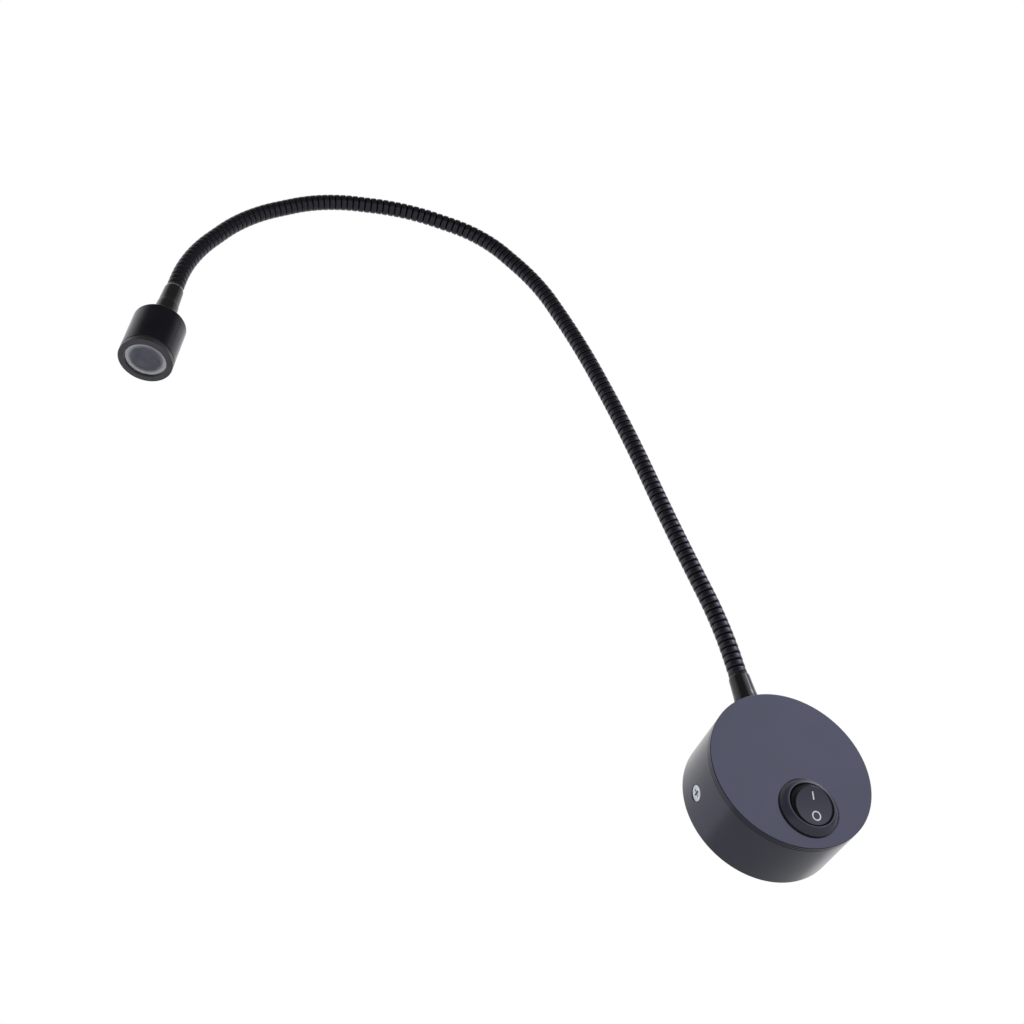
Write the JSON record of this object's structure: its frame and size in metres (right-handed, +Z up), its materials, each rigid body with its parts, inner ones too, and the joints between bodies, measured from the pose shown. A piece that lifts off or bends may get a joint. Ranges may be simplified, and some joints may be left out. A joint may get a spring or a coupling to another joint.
{
  "type": "bedside wall reading lamp",
  "caption": "Round wall base with a rocker switch, a bendable ribbed neck and a small spot head with a recessed lens, on a slotted wall bracket.",
  "frame": {"origin": "centre of the round base, on the wall plane that the bracket's back and the can's rear rim meet", "axes": "+Z up along the neck as it leaves the base, +Y into the wall, +X to the right for someone facing the wall"},
  "size_m": [0.3425, 0.042, 0.4629],
  "materials": {
    "anodised_aluminium": "fine satin anodised, dark blue-grey",
    "ring_aluminium": "satin anodised, dark grey",
    "neck_black": "semi-gloss black paint on wound steel",
    "ferrule_black": "gloss black lacquer",
    "plain_steel": "turned, bright",
    "zinc_steel": "bright zinc plate",
    "spring_steel": "drawn wire",
    "switch_black": "moulded, semi-gloss",
    "contact_brass": "stamped",
    "driver_white": "moulded",
    "board_green": "solder mask",
    "transformer_yellow": "wound with tape",
    "capacitor_black": "sleeved",
    "terminal_white": "moulded",
    "pad_grey": "soft pad",
    "lead_brown": "insulation",
    "lead_blue": "insulation",
    "lead_green": "insulation, green and yellow",
    "lead_black": "sheath",
    "bare_aluminium": "turned, bare",
    "led_white": "white solder mask on metal",
    "phosphor_yellow": "cast phosphor",
    "reflector_bright": "metallised",
    "frosted_lens": "frosted, translucent",
    "gasket_black": "moulded ring"
  },
  "bodies": {
    "base": {"base_housing": "anodised_aluminium", "neck_section_01": "neck_black", "base_ferrule": "ferrule_black", "base_threaded_end": "plain_steel", "base_locknut": "plain_steel", "base_lock_washer": "plain_steel", "terminal_screws": "plain_steel", "wall_bracket": "zinc_steel", "bracket_screws": "zinc_steel", "switch_housing": "switch_black", "switch_terminals": "contact_brass", "terminal_sleeves": "contact_brass", "earth_tag": "contact_brass", "driver_case": "driver_white", "driver_lid": "driver_white", "driver_board": "board_green", "driver_transformer": "transformer_yellow", "driver_capacitors": "capacitor_black", "terminal_block": "terminal_white", "driver_pad": "pad_grey", "live_lead": "lead_brown", "switched_lead": "lead_brown", "neutral_lead": "lead_blue", "earth_lead": "lead_green", "neck_lead_01": "lead_black"},
    "rocker": {"rocker_button": "switch_black", "switch_plunger": "switch_black", "switch_spring": "spring_steel"},
    "contact": {"contact_lever": "contact_brass"},
    "neck_02": {"neck_section_02": "neck_black", "neck_lead_02": "lead_black"},
    "neck_03": {"neck_section_03": "neck_black", "neck_lead_03": "lead_black"},
    "neck_04": {"neck_section_04": "neck_black", "neck_lead_04": "lead_black"},
    "neck_05": {"neck_section_05": "neck_black", "neck_lead_05": "lead_black"},
    "neck_06": {"neck_section_06": "neck_black", "neck_lead_06": "lead_black"},
    "neck_07": {"neck_section_07": "neck_black", "neck_lead_07": "lead_black"},
    "neck_08": {"neck_section_08": "neck_black", "neck_lead_08": "lead_black"},
    "neck_09": {"neck_section_09": "neck_black", "neck_lead_09": "lead_black"},
    "head": {"neck_section_10": "neck_black", "neck_lead_10": "lead_black", "head_ferrule": "ferrule_black", "head_threaded_end": "plain_steel", "head_lock_washer": "plain_steel", "head_locknut": "plain_steel", "head_housing": "anodised_aluminium", "heat_sink": "bare_aluminium", "led_board": "led_white", "led_emitter": "phosphor_yellow", "board_screws": "plain_steel", "reflector": "reflector_bright", "lens": "frosted_lens", "lens_gasket": "gasket_black", "retaining_ring": "ring_aluminium"}
  },
  "joints": [
    {"name": "neck_bend_1", "type": "hinge", "parent": "base", "child": "neck_02", "pos_m": [-0.00402, -0.0177, 0.11857], "axis": [0, 1, 0], "range_deg": [-25, 25]},
    {"name": "neck_bend_2", "type": "hinge", "parent": "neck_02", "child": "neck_03", "pos_m": [-0.01446, -0.0177, 0.19288], "axis": [-0.9925, 0, -0.1219], "range_deg": [-25, 25]},
    {"name": "neck_bend_3", "type": "hinge", "parent": "neck_03", "child": "neck_04", "pos_m": [-0.02588, -0.0177, 0.26704], "axis": [0, 1, 0], "range_deg": [-25, 25]},
    {"name": "neck_bend_4", "type": "hinge", "parent": "neck_04", "child": "neck_05", "pos_m": [-0.04154, -0.0177, 0.3323], "axis": [-0.9588, 0, -0.284], "range_deg": [-25, 25]},
    {"name": "neck_bend_5", "type": "hinge", "parent": "neck_05", "child": "neck_06", "pos_m": [-0.06372, -0.0177, 0.37827], "axis": [0, 1, 0], "range_deg": [-25, 25]},
    {"name": "neck_bend_6", "type": "hinge", "parent": "neck_06", "child": "neck_07", "pos_m": [-0.10345, -0.0177, 0.40903], "axis": [-0.3502, 0, -0.9367], "range_deg": [-25, 25]},
    {"name": "neck_bend_7", "type": "hinge", "parent": "neck_07", "child": "neck_08", "pos_m": [-0.1536, -0.0177, 0.4181], "axis": [0, 1, 0], "range_deg": [-25, 25]},
    {"name": "neck_bend_8", "type": "hinge", "parent": "neck_08", "child": "neck_09", "pos_m": [-0.20652, -0.0177, 0.40491], "axis": [0.4695, 0, -0.8829], "range_deg": [-25, 25]},
    {"name": "neck_bend_9", "type": "hinge", "parent": "neck_09", "child": "head", "pos_m": [-0.24845, -0.0177, 0.36972], "axis": [0, 1, 0], "range_deg": [-25, 25]},
    {"name": "rocker_tilt", "type": "hinge", "parent": "base", "child": "rocker", "pos_m": [0.0016, -0.03265, -0.0203], "axis": [0.9976, 0, -0.0698], "range_deg": [-21.4, 0]},
    {"name": "contact_rock", "type": "hinge", "parent": "base", "child": "contact", "pos_m": [0.0016, -0.0215, -0.0203], "axis": [0.9976, 0, -0.0698], "range_deg": [0, 14.5]}
  ],
  "couplings": [
    {"joint": "contact_rock", "follows": "rocker_tilt", "ratio": -0.65421}
  ]
}
